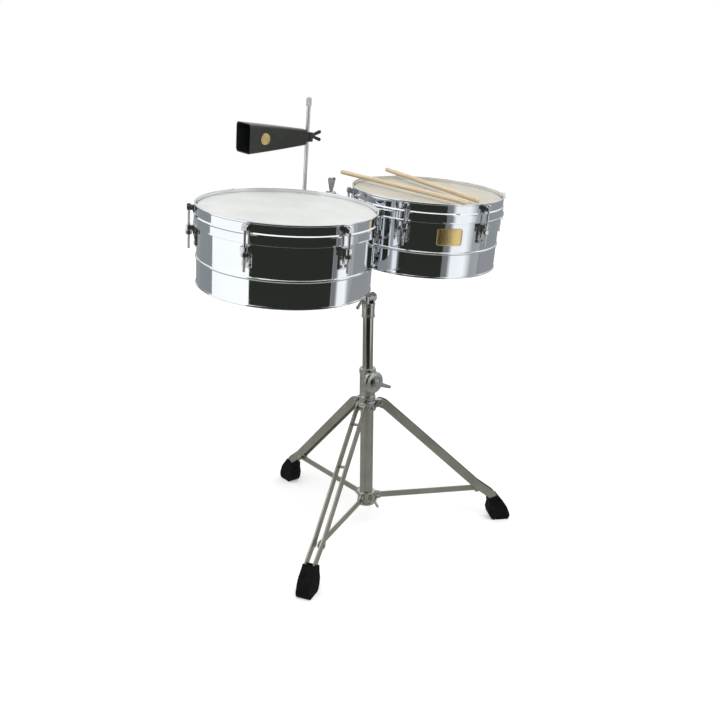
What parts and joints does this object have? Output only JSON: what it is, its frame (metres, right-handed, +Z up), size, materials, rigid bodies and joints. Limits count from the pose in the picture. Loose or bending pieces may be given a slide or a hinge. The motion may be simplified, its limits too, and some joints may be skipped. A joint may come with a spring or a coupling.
{
  "type": "timbales",
  "caption": "Pair of chrome metal drums of unequal size on a tilting, height-adjustable folding tripod, with a cowbell on a rod and sticks.",
  "frame": {"origin": "on the floor, under the middle of the whole object's bounding box", "axes": "+Z up along the post; +X from the large drum to the small drum; -Y towards the player, the way the drums tilt"},
  "size_m": [0.7878, 0.5712, 1.0407],
  "materials": {
    "drum_chrome": "mirror-polished chrome plate",
    "stand_chrome": "dull nickel-chrome plate",
    "drumhead_film": "milky translucent film, satin",
    "black_rubber": "matt moulded rubber",
    "black_nylon": "matt",
    "grey_plastic": "satin",
    "gold_badge": "satin gold plate",
    "black_enamel": "satin black enamel",
    "stick_wood": "light lacquered hickory"
  },
  "bodies": {
    "post": {"lower_tube": "stand_chrome", "tube_end_cap": "black_rubber", "tube_bush": "black_nylon", "height_clamp": "stand_chrome", "leg_hub": "stand_chrome", "hub_screw": "stand_chrome", "leg_pin_1": "stand_chrome", "leg_pin_2": "stand_chrome", "leg_pin_3": "stand_chrome"},
    "height_lever": {"height_lever": "stand_chrome"},
    "collar": {"brace_collar": "stand_chrome"},
    "collar_wing_bolt": {"collar_wing_bolt": "stand_chrome"},
    "leg_1": {"leg_1": "stand_chrome", "foot_1": "black_rubber"},
    "brace_1": {"brace_1": "stand_chrome"},
    "leg_2": {"leg_2": "stand_chrome", "foot_2": "black_rubber"},
    "brace_2": {"brace_2": "stand_chrome"},
    "leg_3": {"leg_3": "stand_chrome", "foot_3": "black_rubber"},
    "brace_3": {"brace_3": "stand_chrome"},
    "upper_tube": {"upper_tube": "stand_chrome"},
    "tilter_base": {"tilter_base": "stand_chrome", "tilter_bolt": "stand_chrome"},
    "tilter_lever": {"tilter_lever": "stand_chrome"},
    "tilting_head": {"tilter_head": "stand_chrome", "centre_plate": "stand_chrome", "plate_screw": "stand_chrome", "bell_holder": "stand_chrome"},
    "large_drum": {"large_shell": "drum_chrome", "large_head": "drumhead_film", "large_bracket": "drum_chrome"},
    "small_drum": {"small_shell": "drum_chrome", "small_head": "drumhead_film", "small_bracket": "drum_chrome", "badge": "gold_badge"},
    "large_hoop": {"large_hoop": "drum_chrome", "large_tension_hook_1": "drum_chrome", "large_tension_hook_2": "drum_chrome", "large_tension_hook_3": "drum_chrome", "large_tension_hook_4": "drum_chrome", "large_tension_hook_5": "drum_chrome", "large_tension_hook_6": "drum_chrome"},
    "large_wing_bolt": {"large_wing_bolt": "stand_chrome"},
    "small_hoop": {"small_hoop": "drum_chrome", "small_tension_hook_1": "drum_chrome", "small_tension_hook_2": "drum_chrome", "small_tension_hook_3": "drum_chrome", "small_tension_hook_4": "drum_chrome", "small_tension_hook_5": "drum_chrome", "small_tension_hook_6": "drum_chrome"},
    "small_wing_bolt": {"small_wing_bolt": "stand_chrome"},
    "bell_post": {"bell_post": "stand_chrome", "bell_post_cap": "grey_plastic"},
    "bell_post_screw": {"bell_post_screw": "stand_chrome"},
    "cowbell": {"cowbell": "black_enamel", "bell_clamp": "black_enamel"},
    "bell_wing_bolt": {"bell_wing_bolt": "black_enamel"},
    "stick_1": {"stick_1": "stick_wood"},
    "stick_2": {"stick_2": "stick_wood"}
  },
  "joints": [
    {"name": "tripod_fold", "type": "slide", "parent": "post", "child": "collar", "axis": [0, 0, 1], "range_m": [0, 0.1476]},
    {"name": "leg_1_fold", "type": "hinge", "parent": "post", "child": "leg_1", "pos_m": [0.0227, -0.0524, 0.325], "axis": [-1, 0, 0], "range_deg": [0, 38.1]},
    {"name": "brace_1_fold", "type": "hinge", "parent": "collar", "child": "brace_1", "pos_m": [0.0227, -0.0534, 0.081], "axis": [-1, 0, 0], "range_deg": [0, 79.6]},
    {"name": "leg_2_fold", "type": "hinge", "parent": "post", "child": "leg_2", "pos_m": [-0.00501, -0.1004, 0.325], "axis": [0.5, -0.866, 0], "range_deg": [0, 38.1]},
    {"name": "brace_2_fold", "type": "hinge", "parent": "collar", "child": "brace_2", "pos_m": [-0.00415, -0.0999, 0.081], "axis": [0.5, -0.866, 0], "range_deg": [0, 79.6]},
    {"name": "leg_3_fold", "type": "hinge", "parent": "post", "child": "leg_3", "pos_m": [0.05041, -0.1004, 0.325], "axis": [0.5, 0.866, 0], "range_deg": [0, 38.1]},
    {"name": "brace_3_fold", "type": "hinge", "parent": "collar", "child": "brace_3", "pos_m": [0.04955, -0.0999, 0.081], "axis": [0.5, 0.866, 0], "range_deg": [0, 79.6]},
    {"name": "collar_wing_bolt_turn", "type": "hinge", "parent": "collar", "child": "collar_wing_bolt", "pos_m": [0.0227, -0.1134, 0.081], "axis": [0, -1, 0], "continuous": true},
    {"name": "height_lever_turn", "type": "hinge", "parent": "post", "child": "height_lever", "pos_m": [0.0227, -0.1154, 0.383], "axis": [0, -1, 0], "continuous": true},
    {"name": "post_height", "type": "slide", "parent": "post", "child": "upper_tube", "axis": [0, 0, 1], "range_m": [-0.11, 0.1]},
    {"name": "head_swivel", "type": "hinge", "parent": "upper_tube", "child": "tilter_base", "pos_m": [0.0227, -0.0844, 0.555], "axis": [0, 0, 1], "continuous": true},
    {"name": "head_tilt", "type": "hinge", "parent": "tilter_base", "child": "tilting_head", "pos_m": [0.0227, -0.0844, 0.586], "axis": [1, 0, 0], "range_deg": [-16, 24]},
    {"name": "tilter_lever_turn", "type": "hinge", "parent": "tilter_base", "child": "tilter_lever", "pos_m": [0.0067, -0.0844, 0.586], "axis": [-1, 0, 0], "continuous": true},
    {"name": "large_drum_tilt", "type": "hinge", "parent": "tilting_head", "child": "large_drum", "pos_m": [0.0127, -0.05613, 0.62316], "axis": [1, 0, 0], "range_deg": [-10, 18]},
    {"name": "small_drum_tilt", "type": "hinge", "parent": "tilting_head", "child": "small_drum", "pos_m": [0.0127, -0.05613, 0.62316], "axis": [1, 0, 0], "range_deg": [-10, 18]},
    {"name": "large_wing_bolt_turn", "type": "hinge", "parent": "tilting_head", "child": "large_wing_bolt", "pos_m": [0.0127, -0.05613, 0.62316], "axis": [-1, 0, 0], "continuous": true},
    {"name": "small_wing_bolt_turn", "type": "hinge", "parent": "tilting_head", "child": "small_wing_bolt", "pos_m": [0.0127, -0.05613, 0.62316], "axis": [1, 0, 0], "continuous": true},
    {"name": "large_hoop_lift", "type": "slide", "parent": "large_drum", "child": "large_hoop", "axis": [0, -0.1045, 0.9945], "range_m": [0, 0.008]},
    {"name": "small_hoop_lift", "type": "slide", "parent": "small_drum", "child": "small_hoop", "axis": [0, -0.1045, 0.9945], "range_m": [0, 0.008]},
    {"name": "bell_post_lean", "type": "hinge", "parent": "tilting_head", "child": "bell_post", "pos_m": [0.0627, 0.11988, 0.80455], "axis": [1, 0, 0], "range_deg": [-10, 10]},
    {"name": "bell_post_screw_turn", "type": "hinge", "parent": "tilting_head", "child": "bell_post_screw", "pos_m": [0.0627, 0.11873, 0.81549], "axis": [0, -0.1045, 0.9945], "continuous": true},
    {"name": "cowbell_turn", "type": "hinge", "parent": "bell_post", "child": "cowbell", "pos_m": [-0.0183, 0.10467, 0.94925], "axis": [0, -0.1045, 0.9945], "range_deg": [-110, 110]},
    {"name": "bell_wing_bolt_turn", "type": "hinge", "parent": "cowbell", "child": "bell_wing_bolt", "pos_m": [-0.0073, 0.10446, 0.95124], "axis": [1, 0, 0], "continuous": true},
    {"name": "stick_1_lift", "type": "slide", "parent": "small_hoop", "child": "stick_1", "axis": [0, -0.1045, 0.9945], "range_m": [0, 0.15]},
    {"name": "stick_2_lift", "type": "slide", "parent": "small_hoop", "child": "stick_2", "axis": [0, -0.1045, 0.9945], "range_m": [0, 0.15]}
  ],
  "couplings": [
    {"joint": "leg_1_fold", "follows": "tripod_fold", "rad_per_m": 4.4934},
    {"joint": "brace_1_fold", "follows": "tripod_fold", "rad_per_m": 9.3947},
    {"joint": "leg_2_fold", "follows": "tripod_fold", "rad_per_m": 4.4934},
    {"joint": "brace_2_fold", "follows": "tripod_fold", "rad_per_m": 9.3947},
    {"joint": "leg_3_fold", "follows": "tripod_fold", "rad_per_m": 4.4934},
    {"joint": "brace_3_fold", "follows": "tripod_fold", "rad_per_m": 9.3947}
  ]
}
